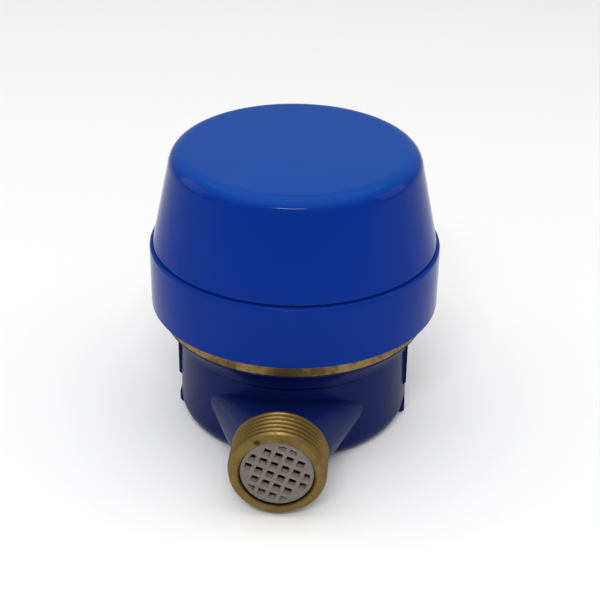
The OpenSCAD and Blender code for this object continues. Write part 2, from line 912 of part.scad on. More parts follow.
module flow_star() {
    color("firebrick")
        translate([first_at[0], first_at[1], hand_z])
            linear_extrude(hand_t)
                difference() {
                    polygon([
                        for (i = [0:2 * star_points - 1])
                            (i % 2 == 0 ? star_r : star_r * 0.6) * [cos(i * 180 / star_points), sin(i * 180 / star_points)]
                    ]);
                    circle(r = arbor_r + seat_gap, $fn = 32);
                }
}

module pointer() {
    tip = 0.12;
    waist = 0.65;
    tail = 0.8;
    color("firebrick")
        translate([second_at[0], second_at[1], hand_z])
            linear_extrude(hand_t)
                difference() {
                    union() {
                        circle(r = arbor_r + 0.9, $fn = 32);
                        polygon([
                            [-tip, pointer_l], [-waist, 0], [-tail, -pointer_l / 2],
                            [tail, -pointer_l / 2], [waist, 0], [tip, pointer_l]
                        ]);
                    }
                    circle(r = arbor_r + seat_gap, $fn = 32);
                }
}

module lens_gasket() {
    color("black")
        disc(bezel_in_r - seat_gap, case_top, lens_z, case_in_r - 0.4);
}

module lens() {
    color("lightcyan", 0.4)
        disc(bezel_in_r - seat_gap, lens_z, lens_z + lens_t);
}

module bezel() {
    color("darkslategray")
        difference() {
            union() {
                disc(bezel_r, bezel_z + 0.05, bezel_top - 0.6);
                translate([0, 0, bezel_top - 0.6])
                    cylinder(r1 = bezel_r, r2 = bezel_r - 0.6, h = 0.6);
            }
            disc(bezel_in_r + seat_gap, bezel_z, lens_z + lens_t);
            disc(case_in_r - 1.4, lens_z, bezel_top + 1);
        }
}

// Half section of the housing: wall, top plate and the rim inside the lid
module housing_section() {
    hole_r = bezel_r + free_gap + 0.1;
    rim_r = lid_in_r - 2 * free_gap;
    translate([house_in_r, house_z])
        square([house_wall, house_h - house_round]);
    translate([hole_r, ledge_z - house_top_t])
        square([house_r - house_round - hole_r, house_top_t]);
    translate([house_r - house_round, ledge_z - house_round])
        circle(r = house_round - hair, $fn = 48);
    translate([rim_r - rim_w, ledge_z - 0.5])
        square([rim_w, rim_h + 0.5]);
}

module register_housing() {
    flange_top = case_z + case_floor + 0.2;
    ear_y = house_r - 2;
    pin_r = hinge_r + seat_gap;
    side_x = knuckle_l / 2 + 2 * run_gap;
    color("royalblue")
        difference() {
            union() {
                rotate_extrude()
                    housing_section();
                for (i = [0:house_ribs - 1])
                    rotate((i + 0.5) * 360 / house_ribs)
                        translate([bezel_r + 2 * free_gap, -0.8, flange_top + 0.05])
                            cube([house_in_r - bezel_r - free_gap, 1.6, ledge_z - house_top_t - flange_top]);
                for (i = [0:3])
                    rotate(i * 90 + 30)
                        rotate_extrude(angle = 30)
                            translate([house_in_r - hook_reach, hook_z])
                                square([hook_reach + 0.5, hook_h]);
                for (x = [-side_x - knuckle_side_l, side_x])
                    along_x(x, x + knuckle_side_l) {
                        polygon([
                            [ear_y, ledge_z - ear_h], [house_r + 1, ledge_z - ear_h],
                            [hinge_y + knuckle_r, hinge_z - ear_h / 2],
                            [hinge_y + knuckle_r, hinge_z], [house_r, hinge_z], [house_r, ledge_z - 1],
                            [ear_y, ledge_z - 1]
                        ]);
                        translate([hinge_y, hinge_z])
                            circle(r = knuckle_r, $fn = 48);
                    }
            }
            cross_shaft(pin_r, -2 * knuckle_l, 2 * knuckle_l, hinge_y, hinge_z);
        }
}

// Cone from radius r0 to r1 at its sharp top corner, rounded there
module rounded_cone_2d(r0, r1, h, round) {
    lean = atan2(r0 - r1, h);
    centre = [r1 - round * tan((90 - lean) / 2), h - round];
    polygon([
        [0, 0], [r0, 0], centre + round * [cos(lean), sin(lean)], centre, centre + [0, round], [0, h]
    ]);
    translate(centre)
        circle(r = round - hair);
}

module lid() {
    color("royalblue")
        difference() {
            union() {
                translate([0, 0, lid_z])
                    rotate_extrude($fn = 180)
                        difference() {
                            rounded_cone_2d(lid_rim_r, lid_rim_r - lid_draw, lid_h, lid_round);
                            translate([0, -0.01])
                                rounded_cone_2d(
                                    lid_in_r, lid_in_r - lid_draw, lid_h - lid_t, max(lid_round - lid_t, 0.5)
                                );
                        }
                along_x(-knuckle_l / 2, knuckle_l / 2) {
                    polygon([
                        [lid_rim_r - 1.2, lid_z], [hinge_y, lid_z], [hinge_y, hinge_z + knuckle_r],
                        [lid_rim_r - 1.4, hinge_z + knuckle_r + 2]
                    ]);
                    translate([hinge_y, hinge_z])
                        circle(r = knuckle_r, $fn = 48);
                }
            }
            cross_shaft(hinge_r + run_gap, -knuckle_l, knuckle_l, hinge_y, hinge_z);
        }
}

module hinge_pin() {
    half = knuckle_l / 2 + knuckle_side_l;
    color("silver")
        cross_shaft(hinge_r, -half, half, hinge_y, hinge_z);
}

meter_body();
inlet_strainer();
lower_pivot();
impeller();
drive_magnet();
pressure_plate();
plate_seal();
clamp_ring();
register_case();
follower_spindle();
follower_magnet();
movement_plate();
first_wheel();
second_wheel();
third_wheel();
upper_bridge();
frame_screws();
number_shaft();
pinion_shaft();
for (i = [1:drums])
    number_wheel(i);
for (i = [1:drums - 1])
    carry_pinion(i);
dial_plate();
flow_star();
pointer();
lens_gasket();
lens();
bezel();
register_housing();
lid();
hinge_pin();
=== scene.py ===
"""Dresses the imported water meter: cuts the port threads into the painted casting, prints the dial and the number
wheels, gives every piece its finish, and sets a white studio with the camera at the photograph's view."""

import json
import math

import bmesh
import bpy
import numpy as np
from bpy.props import FloatProperty, FloatVectorProperty, IntProperty, PointerProperty
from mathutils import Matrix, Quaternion, Vector


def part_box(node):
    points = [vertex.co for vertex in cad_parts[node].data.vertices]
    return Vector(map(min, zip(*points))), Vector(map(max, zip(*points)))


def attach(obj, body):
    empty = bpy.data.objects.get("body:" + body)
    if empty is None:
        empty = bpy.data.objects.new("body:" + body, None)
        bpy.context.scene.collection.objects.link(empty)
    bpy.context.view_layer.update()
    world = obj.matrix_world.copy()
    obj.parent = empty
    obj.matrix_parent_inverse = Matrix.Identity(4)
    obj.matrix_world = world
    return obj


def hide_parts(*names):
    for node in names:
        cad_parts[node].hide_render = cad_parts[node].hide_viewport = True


bl_info = {
    "name": "Water meter",
    "version": (1, 0, 0),
    "blender": (4, 5, 0),
    "location": "View3D > Sidebar > Meter",
    "description": "Dresses the packed single-jet water meter and sets its studio",
    "category": "Object",
}

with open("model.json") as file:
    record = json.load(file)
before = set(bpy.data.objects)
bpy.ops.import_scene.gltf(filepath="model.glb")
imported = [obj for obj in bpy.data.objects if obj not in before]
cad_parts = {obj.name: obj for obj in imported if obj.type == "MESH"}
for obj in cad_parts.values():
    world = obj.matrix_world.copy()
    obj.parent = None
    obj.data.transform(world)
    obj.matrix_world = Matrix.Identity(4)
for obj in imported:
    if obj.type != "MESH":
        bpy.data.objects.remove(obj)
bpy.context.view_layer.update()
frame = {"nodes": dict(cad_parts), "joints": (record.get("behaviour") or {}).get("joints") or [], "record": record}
NODES = frame["nodes"]
MOUNTS = {m["name"]: m for m in frame["record"]["mounts"]}
JOINTS = {j["name"]: j for j in frame["joints"]}

MM = 0.001
WELD = 0.001 * MM
SHARP_EDGE = math.radians(32)
FIGURES = 10
SUBMARKS = 10
FLOOR_HALF = 4.0
SENSOR_WIDTH = 36.0
CLIP_START, CLIP_END = 0.01, 20.0
COVER_ROUGHNESS = {"lid": 0.06, "register_housing": 0.16}

# Softboxes: place, width, height, and share of the studio's light.
LIGHT_AIM = Vector((0, 0, 0.04))
SOFTBOXES = {
    "key": ((0.0, 0.0, 0.78), 1.0, 1.0, 1.15),
    "front": ((-0.02, -0.55, 0.55), 0.3, 0.016, 0.75),
    "left": ((-0.75, 0.1, 0.3), 0.4, 0.4, 0.3),
    "right": ((0.75, 0.1, 0.3), 0.4, 0.4, 0.3),
}

# Machined faces of the casting, in millimetres: radius, and where each begins along its axis.
SEAT_R, SEAT_Y = 10.3, 50
THROAT_R, THROAT_Y = 7.7, 34
CHAMBER_R, CHAMBER_Z = 31.4, 3.4

# Places that the finishes and the print need, taken from the frame.
PORT = MOUNTS["outlet_thread"]
PIPE_Z = PORT["pos_m"][2]
PORT_R = PORT["dims"]["r_mm"] * MM
PORT_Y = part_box("meter_body")[1].y
THREAD_Y = PORT["pos_m"][1] - PORT["dims"]["length_mm"] * MM / 2
SHOULDER_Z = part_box("clamp_ring")[0].z
DIAL_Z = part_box("dial_plate")[1].z
DIAL_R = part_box("dial_plate")[1].x
DRUM_AXIS = np.array(JOINTS["number_wheel_1_spin"]["pos_m"])
DRUM_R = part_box("number_wheel_5")[1].z - DRUM_AXIS[2]
DRUMS = sum(name.startswith("number_wheel_") for name in NODES)
POINTER_AT = np.array(JOINTS["second_wheel_spin"]["pos_m"][:2])
STAR_AT = np.array(JOINTS["first_wheel_spin"]["pos_m"][:2])
STAIN_AT = (-5.2 * MM, -PORT_Y, PIPE_Z + 9.7 * MM)


def length(name, text, default):
    """A length property, in metres."""
    return FloatProperty(name=name, description=text, default=default, unit="LENGTH", precision=5)


def colour(name, text, default):
    """A linear colour property."""
    return FloatVectorProperty(name=name, description=text, default=default, subtype="COLOR", min=0, max=1)


class ThreadSizes(bpy.types.PropertyGroup):
    """Form of the pipe threads on both ports."""

    pitch: length("Pitch", "Distance between neighbouring crests", 1.814 * MM)
    depth: length("Depth", "Height of the crests over the roots", 1.16 * MM)
    runout: length("Run-out", "Length over which the groove dies away at the neck", 1.2 * MM)
    stop: length("Stop", "Distance from the groove's end to the thread's end", 0.3 * MM)
    brim: length("Brim", "Height of the cutter's top over the crests", 0.3 * MM)
    lift: length("Lift", "Height of the cutter's floor over the crests where the groove has died away", 0.1 * MM)
    half: FloatProperty(name="Half width", description="Half the groove's width, in pitches", default=0.47)
    points: IntProperty(name="Points", description="Points across the groove's floor", default=11)
    steps: IntProperty(name="Steps", description="Sections of the groove in one turn", default=96)


class PrintSizes(bpy.types.PropertyGroup):
    """Printed figures and marks on the dial and the number wheels."""

    ink: length("Ink", "Thickness of the printed layer", 0.02 * MM)
    drum_figure: length("Wheel figures", "Height of the figures on the number wheels", 2.3 * MM)
    scale_figure: length("Scale figures", "Height of the figures round the pointer", 1.7 * MM)
    scale_r: length("Scale radius", "Inner radius of the marks round the pointer", 5.6 * MM)
    long_mark: length("Long marks", "Length of the marks at the figures", 1.1 * MM)
    short_mark: length("Short marks", "Length of the marks between the figures", 0.6 * MM)
    figure_out: length("Figures' place", "Distance from the scale's radius to the middle of its figures", 2.4 * MM)
    star_r: length("Star ring", "Radius of the ring round the flow star", 4.6 * MM)
    edge: length("Edge", "Distance from the dial's edge to its border line", 2.2 * MM)
    line: length("Line", "Width of the printed lines", 0.22 * MM)
    window_w: length("Window width", "Width of one window in the dial", 2.2 * MM)
    window_h: length("Window height", "Height of one window in the dial", 4.6 * MM)
    frame_side: length("Frame side", "Gap between the windows and the sides of their frame", 0.3 * MM)
    frame_top: length("Frame top", "Gap between the windows and the long edges of their frame", 0.6 * MM)
    frame_corner: length("Frame corner", "Inner radius of the frames' corners", 0.5 * MM)
    red_wheels: IntProperty(name="Red wheels", description="Number wheels behind the decimal mark", default=3)


class FinishColours(bpy.types.PropertyGroup):
    """Colours of the finishes."""

    paint: colour("Casting paint", "Gloss paint on the cast body", (0.0030, 0.0090, 0.0720))
    moulding: colour("Blue moulding", "Lid and register housing", (0.0010, 0.0250, 0.2300))
    # Painted highlight: the lighter blue on the tops of the lid and housing stands in for overhead light falling there.
    faded: colour("Lit moulding", "Top of the lid, bleached by light", (0.0044, 0.0600, 0.3240))
    brass: colour("Brass", "Bare turned brass", (0.2050, 0.1370, 0.0450))
    tarnish: colour("Tarnish", "Brown bloom on old brass", (0.1300, 0.0480, 0.0160))
    strainer: colour("Strainer", "Grey moulding in the inlet", (0.1850, 0.1620, 0.1470))
    steel: colour("Steel", "Pins, shafts and screws", (0.5600, 0.5600, 0.5700))
    red: colour("Red", "Decimal wheels, star and pointer", (0.5000, 0.0150, 0.0120))
    black: colour("Black", "Whole-number wheels, case and print", (0.0120, 0.0120, 0.0130))
    white: colour("White", "Dial and printed figures", (0.8000, 0.8000, 0.7700))
    ivory: colour("Ivory", "Wheels and frame of the movement", (0.6600, 0.6200, 0.4900))


class StudioSizes(bpy.types.PropertyGroup):
    """Camera and lights of the photograph's view."""

    distance: length("Distance", "Camera to the middle of the pipe", 435.7 * MM)
    azimuth: FloatProperty(name="Azimuth", description="Camera's turn round the meter", default=math.radians(4.083),
                           subtype="ANGLE")
    elevation: FloatProperty(name="Elevation", description="Camera's height as an angle", default=math.radians(31.990),
                             subtype="ANGLE")
    roll: FloatProperty(name="Roll", description="Turn of the camera about its view", default=math.radians(0.766),
                        subtype="ANGLE")
    lens: FloatProperty(name="Lens", description="Focal length in millimetres", default=88.0)
    aim_x: length("Aim sideways", "Place of the picture's centre across the meter", 1.69 * MM)
    aim_z: length("Aim height", "Height of the picture's centre", 34.42 * MM)
    light: FloatProperty(name="Light", description="Watts of which each softbox has its share", default=2.6)
    room: FloatProperty(name="Room", description="Brightness of the white room", default=0.54)
    floor: colour("Floor", "Pale floor", (0.92, 0.92, 0.92))


class MeterSettings(bpy.types.PropertyGroup):
    """All sizes and colours of the dressed meter."""

    thread: PointerProperty(type=ThreadSizes)
    ink: PointerProperty(type=PrintSizes)
    colours: PointerProperty(type=FinishColours)
    studio: PointerProperty(type=StudioSizes)


# Shader building


class Socket:
    """One output of a shader node. Sums of sockets and numbers add Math nodes."""

    def __init__(self, tree, output):
        self.tree = tree
        self.output = output

    def math(self, operation, *values):
        return add_node(self.tree, "ShaderNodeMath", {"operation": operation}, dict(enumerate(values)))

    def __add__(self, other):
        return self.math("ADD", self, other)

    def __sub__(self, other):
        return self.math("SUBTRACT", self, other)

    def __rsub__(self, other):
        return self.math("SUBTRACT", other, self)

    def __mul__(self, other):
        return self.math("MULTIPLY", self, other)

    def __truediv__(self, other):
        return self.math("DIVIDE", self, other)

    def __pow__(self, other):
        return self.math("POWER", self, other)

    def __lt__(self, other):
        return self.math("LESS_THAN", self, other)

    def __gt__(self, other):
        return self.math("GREATER_THAN", self, other)

    def __abs__(self):
        return self.math("ABSOLUTE", self)

    def most(self, other):
        return self.math("MAXIMUM", self, other)

    def step(self, low, high):
        """0 below low, 1 above high and a smooth rise between. It falls where low is the greater."""
        return add_node(self.tree, "ShaderNodeMapRange", {"interpolation_type": "SMOOTHSTEP"},
                        {"Value": self, "From Min": low, "From Max": high})

    __radd__ = __add__
    __rmul__ = __mul__


def add_node(tree, kind, settings=None, values=None, output=0):
    """Adds one node: settings first, then the values or links of its sockets. Returns one of its outputs."""
    node = tree.nodes.new(kind)
    for name, value in (settings or {}).items():
        setattr(node, name, value)
    for name, value in (values or {}).items():
        if isinstance(value, Socket):
            tree.links.new(value.output, node.inputs[name])
        else:
            node.inputs[name].default_value = value
    return Socket(tree, node.outputs[output])


class Finish:
    """A material with one Principled shader that reads Object coordinates."""

    def __init__(self, name, **constants):
        self.material = bpy.data.materials.new(name)
        self.material.use_nodes = True
        self.tree = self.material.node_tree
        self.shader = self.tree.nodes["Principled BSDF"]
        self.place = self.node("ShaderNodeTexCoord", output="Object")
        for socket, value in constants.items():
            self.shader.inputs[socket.replace("_", " ")].default_value = value

    def node(self, kind, settings=None, values=None, output=0):
        return add_node(self.tree, kind, settings, values, output)

    def axes(self):
        """The three coordinates, in millimetres."""
        split = self.node("ShaderNodeSeparateXYZ", None, {0: self.place}).output.node
        return [Socket(self.tree, out) / MM for out in split.outputs]

    def noise(self, size, detail=2.0, rough=0.5, stretch=(1, 1, 1)):
        """Noise from 0 to 1 whose patches are about size metres wide, longer where stretch is below 1."""
        place = self.place
        if stretch != (1, 1, 1):
            place = self.node("ShaderNodeMapping", None, {"Vector": place, "Scale": stretch})
        values = {"Vector": place, "Scale": 1 / size, "Detail": detail, "Roughness": rough}
        return self.node("ShaderNodeTexNoise", None, values)

    def mix(self, share, first, second):
        """Colour between first and second."""
        first, second = ((*c, 1) if not isinstance(c, Socket) else c for c in (first, second))
        return self.node("ShaderNodeMix", {"data_type": "RGBA"}, {0: share, 6: first, 7: second}, output=2)

    def bump(self, height, distance, strength):
        """Normal from a height field whose full step is distance metres."""
        return self.node("ShaderNodeBump", None, {"Height": height, "Distance": distance, "Strength": strength})

    def feed(self, **links):
        """Links values that vary over the surface to the shader."""
        for socket, value in links.items():
            self.tree.links.new(value.output, self.shader.inputs[socket.replace("_", " ")])
        return self.material


def shade(tone, factor):
    """A colour made lighter or darker."""
    return tuple(min(1.0, c * factor) for c in tone)


# Finishes


def brass_tone(finish, tones, age_and_sheen):
    """Colour and roughness of old brass: a pale metal with rubbing streaks, a brown bloom and small red-brown spots,
    the bloom and spots stronger as the third argument rises from 0 to 1. The streaked metal also gets lighter as it
    rises: a painted reflection, which makes the clamp ring lighter than the casting's bare brass."""
    bloom = finish.noise(5 * MM, detail=5.0, rough=0.65).step(0.42, 0.66)
    spots = finish.noise(1.3 * MM, detail=4.0, rough=0.65).step(0.58, 0.68)
    streak = finish.noise(0.35 * MM, stretch=(1, 1, 6))
    # Painted reflection: both shades of the streaked metal grow lighter as the third argument rises.
    rubbed_and_lit = finish.mix(streak, shade(tones.brass, 0.65 + 0.35 * age_and_sheen), shade(tones.brass, 0.85 + 0.75 * age_and_sheen))
    aged = finish.mix(bloom * age_and_sheen, rubbed_and_lit, shade(tones.brass, 0.45))
    spotted = finish.mix(spots * age_and_sheen, aged, tuple(tones.tarnish))
    return spotted, bloom * 0.14 + spots * 0.12 + streak * 0.08 + 0.42 - 0.14 * age_and_sheen


def casting_paint(tones):
    """Gloss navy paint on a sand casting. Threads, bores and the machined seat are bare brass, darker brown in the
    thread's roots, with grime round the lower half of the strainer and a brown spot on the inlet's face."""
    finish = Finish("casting_paint", Coat_Roughness=0.08, Coat_IOR=1.2, Specular_IOR_Level=0.06)
    x, y, z = finish.axes()
    axis, crest, thread_end = PIPE_Z / MM, PORT_R / MM, THREAD_Y / MM
    from_pipe = (x * x + (z - axis) ** 2.0) ** 0.5
    from_axis = (x * x + y * y) ** 0.5
    ragged = finish.noise(1.6 * MM, detail=3.0) * 0.7
    threads = (abs(y) - ragged).step(thread_end - 0.4, thread_end - 0.2)
    bores = ((from_pipe < SEAT_R) * (abs(y) > SEAT_Y)).most((from_pipe < THROAT_R) * (abs(y) > THROAT_Y))
    chamber = (from_axis < CHAMBER_R) * (z > CHAMBER_Z)
    bare = threads.most(bores).most(chamber).most(z > SHOULDER_Z / MM - 0.05)
    cloud = finish.noise(14 * MM, detail=3.0)
    paint = finish.mix(cloud, shade(tones.paint, 0.8), shade(tones.paint, 1.25))
    clean, brass_rough = brass_tone(finish, tones, age_and_sheen=0.35)
    away = finish.node("ShaderNodeVectorMath", {"operation": "DISTANCE"}, {0: finish.place, 1: STAIN_AT}, output=1)
    spot = (away / MM + ragged).step(1.7, 0.6)
    # The thread's roots are made darker brown.
    roots = from_pipe.step(crest - 0.12, crest - 0.82) * (abs(y) < PORT_Y / MM - 0.7)
    rim = (from_pipe + ragged).step(SEAT_R + 0.9, SEAT_R + 0.4) * z.step(axis + 7, axis - 3)
    dirt_and_dark_roots = (spot * 0.9).most(roots * 0.4).most(rim * 0.8)
    brass = finish.mix(dirt_and_dark_roots, clean, shade(tones.tarnish, 0.3))
    sand = finish.noise(2.4 * MM, detail=3.0, rough=0.55)
    waves = finish.noise(11 * MM, detail=1.0)
    skin = finish.bump(sand * 0.35 + waves * 1.6, 0.10 * MM, strength=0.55)
    return finish.feed(Base_Color=finish.mix(bare, paint, brass), Metallic=bare,
                       Roughness=bare * brass_rough + (1 - bare) * (cloud * 0.1 + 0.3),
                       Coat_Weight=(1 - bare) * 0.1, Normal=skin)


def ring_brass(tones):
    """Turned brass that has stood in the damp: brown bloom, red-brown spots, fine turning lines, and a lighter tone
    that is a painted reflection.
    """
    finish = Finish("ring_brass", Metallic=1.0)
    # The high value here also makes this brass lighter: painted reflection.
    tone, rough = brass_tone(finish, tones, age_and_sheen=0.85)
    turning = finish.noise(0.25 * MM, detail=1.0, stretch=(0.05, 0.05, 1))
    pits = finish.noise(0.8 * MM, detail=3.0, rough=0.6)
    return finish.feed(Base_Color=tone, Roughness=rough,
                       Normal=finish.bump(turning + pits, 0.03 * MM, strength=0.6))


def gloss_moulding(name, tone, faded, top, rough):
    """Polished blue moulding with slow sink marks, a little haze and fine handling scratches, and a painted highlight:
    a lighter blue in the last few millimetres below the height top, where the overhead light falls."""
    finish = Finish(name, Specular_IOR_Level=0.06)
    cloud = finish.noise(26 * MM)
    haze = finish.noise(3.5 * MM, detail=4.0, rough=0.6)
    scratches = finish.noise(0.5 * MM, stretch=(1, 1, 0.08)).step(0.68, 0.76)
    sinks = finish.noise(30 * MM, detail=1.0)
    height = finish.axes()[2] + haze * 0.6
    # Painted highlight: the top few millimetres take the lighter blue, standing in for overhead light.
    highlighted = finish.mix(height.step(top / MM - 2.6, top / MM + 0.2), tuple(tone), tuple(faded))
    return finish.feed(Base_Color=finish.mix(cloud * 0.2, highlighted, shade(tone, 0.6)),
                       Roughness=haze * 0.06 + scratches * 0.06 + rough,
                       Normal=finish.bump(sinks + haze * 0.03, 0.12 * MM, strength=0.3))


def matt_moulding(name, tone, rough=0.45, grain=0.35 * MM):
    """Moulded plastic with a fine spark-eroded grain and slight clouding."""
    finish = Finish(name, IOR=1.48)
    cloud = finish.noise(7 * MM, detail=3.0)
    skin = finish.noise(grain)
    return finish.feed(Base_Color=finish.mix(cloud, shade(tone, 0.85), shade(tone, 1.12)),
                       Roughness=cloud * 0.12 + skin * 0.1 + rough - 0.1,
                       Normal=finish.bump(skin, 0.012 * MM, strength=0.5))


def strainer_moulding(tones):
    """Grey strainer with some light scattered under its surface and silt on its grid. Behind its front face it is
    painted lighter, a painted light on the sides of its holes.
    """
    finish = Finish("strainer_moulding", Specular_IOR_Level=0.2, Subsurface_Weight=0.8, Subsurface_Scale=1.5 * MM,
                    Subsurface_Radius=(1.0, 0.9, 0.8))
    silt = finish.noise(2.2 * MM, detail=4.0, rough=0.6).step(0.45, 0.75)
    skin = finish.noise(0.3 * MM)
    # Painted light: everything behind the front face, the sides of the holes, takes a lighter grey.
    painted_lit_walls = finish.axes()[1].step(0.5 - PORT_Y / MM, 1.0 - PORT_Y / MM)
    tone = finish.mix(painted_lit_walls, tuple(tones.strainer), shade(tones.strainer, 1.9))
    return finish.feed(Base_Color=finish.mix(silt * 0.35, tone, shade(tones.strainer, 0.6)),
                       Roughness=silt * 0.2 + skin * 0.1 + 0.38,
                       Normal=finish.bump(skin, 0.015 * MM, strength=0.5))


def ground_steel(tones):
    """Ground steel: fine lines round the pins and shafts."""
    finish = Finish("ground_steel", Metallic=1.0)
    lines = finish.noise(0.2 * MM, stretch=(1, 0.15, 1))
    return finish.feed(Base_Color=finish.mix(lines, shade(tones.steel, 0.75), shade(tones.steel, 1.1)),
                       Roughness=lines * 0.18 + 0.2, Normal=finish.bump(lines, 0.006 * MM, strength=0.5))


def clear_lens():
    """Clear moulded lens with a few wiping marks."""
    finish = Finish("clear_lens", Transmission_Weight=1.0, IOR=1.46)
    wipes = finish.noise(5 * MM, detail=3.0, rough=0.6, stretch=(1, 0.2, 1)).step(0.6, 0.8)
    return finish.feed(Roughness=wipes * 0.05 + 0.01,
                       Base_Color=finish.mix(wipes, (0.97, 0.99, 0.99), (0.93, 0.96, 0.96)))


def floor_finish(tone):
    """Pale matt paper."""
    finish = Finish("floor_paper")
    fibre = finish.noise(3 * MM, detail=3.0)
    return finish.feed(Base_Color=finish.mix(fibre, shade(tone, 0.985), tuple(tone)), Roughness=fibre * 0.1 + 0.75)


# Mesh building


def new_mesh(name, points, triangles):
    """Mesh from an array of points and an array of triangles."""
    mesh = bpy.data.meshes.new(name)
    mesh.from_pydata(np.asarray(points, float).reshape(-1, 3), [], triangles)
    mesh.validate()
    mesh.update()
    return mesh


def halved(quads):
    """Two triangles for each quad."""
    return np.reshape(quads, (-1, 4))[:, [0, 1, 2, 0, 2, 3]].reshape(-1, 3)


def swept_tube(rings):
    """Closed tube through sections given as an array (sections, points round a section, 3): a quad joins points
    (i, j), (i, j+1), (i+1, j+1), (i+1, j), with j running round, and a fan of triangles caps each end."""
    count, around = rings.shape[:2]
    index = np.arange(count * around).reshape(count, around)
    ahead = np.roll(index, -1, axis=1)
    sides = halved(np.stack([index[:-1], ahead[:-1], ahead[1:], index[1:]], axis=-1))
    caps = [np.column_stack([np.full(around - 2, ring[0]), ring[1:-1], ring[2:]])
            for ring in (index[0, ::-1], index[-1])]
    return rings.reshape(-1, 3), np.concatenate([sides, *caps])


def joined(parts):
    """Several (points, triangles) as one, each part's triangles counted on from the parts before it."""
    starts = np.cumsum([0] + [len(points) for points, _ in parts[:-1]])
    points = np.concatenate([points for points, _ in parts])
    return points, np.concatenate([triangles + start for start, (_, triangles) in zip(starts, parts)])


def mesh_points(mesh):
    """Points of a mesh as an array (n, 3)."""
    points = np.empty(len(mesh.vertices) * 3, np.float32)
    mesh.vertices.foreach_get("co", points)
    return points.reshape(-1, 3)


def mesh_triangles(mesh):
    """Triangles of a mesh as an array (n, 3)."""
    mesh.calc_loop_triangles()
    corners = np.empty(len(mesh.loop_triangles) * 3, np.int32)
    mesh.loop_triangles.foreach_get("vertices", corners)
    return corners.reshape(-1, 3)


def merged_solid(node):
    """Points and triangles of a CAD node, with points that round to one place of a grid of WELD made one."""
    points = mesh_points(NODES[node].data)
    grid = np.round(points / WELD).astype(np.int64)
    _, first, same = np.unique(grid, axis=0, return_index=True, return_inverse=True)
    triangles = same.ravel()[mesh_triangles(NODES[node].data)]
    whole = (triangles != np.roll(triangles, 1, axis=1)).all(axis=1)
    return points[first], triangles[whole]


def thread_groove(side, sizes):
    """Solid of one port's thread groove. A section with a rounded floor, depth * (1 + cos(2 pi a / pitch)) / 2 at
    a from its middle, is carried on a right-hand helix of that pitch from outside the port's face to the neck, where
    it rises out of the metal."""
    ahead, first, second = np.array([0, side, 0]), np.array([0, 0, 1.0]), np.array([1.0, 0, 0])
    if side < 0:
        first, second = second, first
    start = PORT_Y + sizes.pitch
    travel = start - THREAD_Y - sizes.stop
    turns = travel / sizes.pitch
    angle = np.linspace(0, -2 * np.pi * turns, int(sizes.steps * turns))[:, None]
    along = start + sizes.pitch * angle / (2 * np.pi)
    rise = np.clip((along - THREAD_Y) / sizes.runout, 0, 1)
    rise = rise * rise * (3 - 2 * rise)
    a = np.linspace(-sizes.half, sizes.half, sizes.points) * sizes.pitch
    floor = sizes.lift * (1 - rise) - rise * sizes.depth * (1 + np.cos(2 * np.pi * a / sizes.pitch)) / 2
    brim = np.full((len(angle), 2), sizes.brim)
    radius = PORT_R + np.hstack([floor, brim])
    shift = np.concatenate([a, a[[-1, 0]]])
    out = np.cos(angle)[..., None] * first + np.sin(angle)[..., None] * second
    rings = radius[..., None] * out + (along + shift)[..., None] * ahead + np.array([0, 0, PIPE_Z])
    return swept_tube(rings[:, ::-1])


def carved(solid, cutter):
    """Mesh of solid with the cutter's room taken out of it."""
    whole, tool = (bpy.data.objects.new(mesh.name, mesh) for mesh in (solid, cutter))
    for obj in (whole, tool):
        bpy.context.scene.collection.objects.link(obj)
    cut = whole.modifiers.new("groove", "BOOLEAN")
    cut.operation, cut.solver, cut.object = "DIFFERENCE", "EXACT", tool
    depsgraph = bpy.context.evaluated_depsgraph_get()
    result = bpy.data.meshes.new_from_object(whole.evaluated_get(depsgraph))
    for obj in (whole, tool):
        bpy.data.objects.remove(obj)
    if len(result.polygons) <= len(solid.polygons):
        raise RuntimeError(f"nothing was cut out of {solid.name}")
    return result


def flat_figure(text, height, rows=12):
    """Points (n, 2) and triangles of a figure of that height about its middle, cut across into rows so that it can
    follow a curved face."""
    curve = bpy.data.curves.new("figure", "FONT")
    curve.body = text
    obj = bpy.data.objects.new("figure", curve)
    bpy.context.scene.collection.objects.link(obj)
    depsgraph = bpy.context.evaluated_depsgraph_get()
    mesh = bpy.data.meshes.new_from_object(obj.evaluated_get(depsgraph))
    bpy.data.objects.remove(obj)
    points = mesh_points(mesh)
    low, high = points[:, 1].min(), points[:, 1].max()
    work = bmesh.new()
    work.from_mesh(mesh)
    for level in np.linspace(low, high, rows + 1)[1:-1]:
        bmesh.ops.bisect_plane(work, geom=work.verts[:] + work.edges[:] + work.faces[:], plane_co=(0, level, 0),
                               plane_no=(0, 1, 0))
    work.to_mesh(mesh)
    work.free()
    points = mesh_points(mesh)[:, :2]
    middle = (points.min(axis=0) + points.max(axis=0)) / 2
    return (points - middle) * height / (high - low), mesh_triangles(mesh)


def bars(centre, inner, outer, angles, width):
    """Flat bars on spokes: at each angle a quad from radius inner to outer, width across."""
    out = np.stack([np.sin(angles), np.cos(angles)], axis=-1)[:, None]
    across = np.stack([out[..., 1], -out[..., 0]], axis=-1)
    radial = np.array([inner, outer, outer, inner])[:, None]
    lateral = np.array([-1, -1, 1, 1])[:, None] * width / 2
    points = centre + radial * out + lateral * across
    return points.reshape(-1, 2), halved(np.arange(len(angles) * 4))


def band(inner, outer):
    """Flat band between two closed outlines of as many points."""
    count = len(inner)
    index = np.arange(count)
    ahead = np.roll(index, -1)
    quads = np.stack([index, index + count, ahead + count, ahead], axis=-1)
    return np.concatenate([inner, outer]), halved(quads)


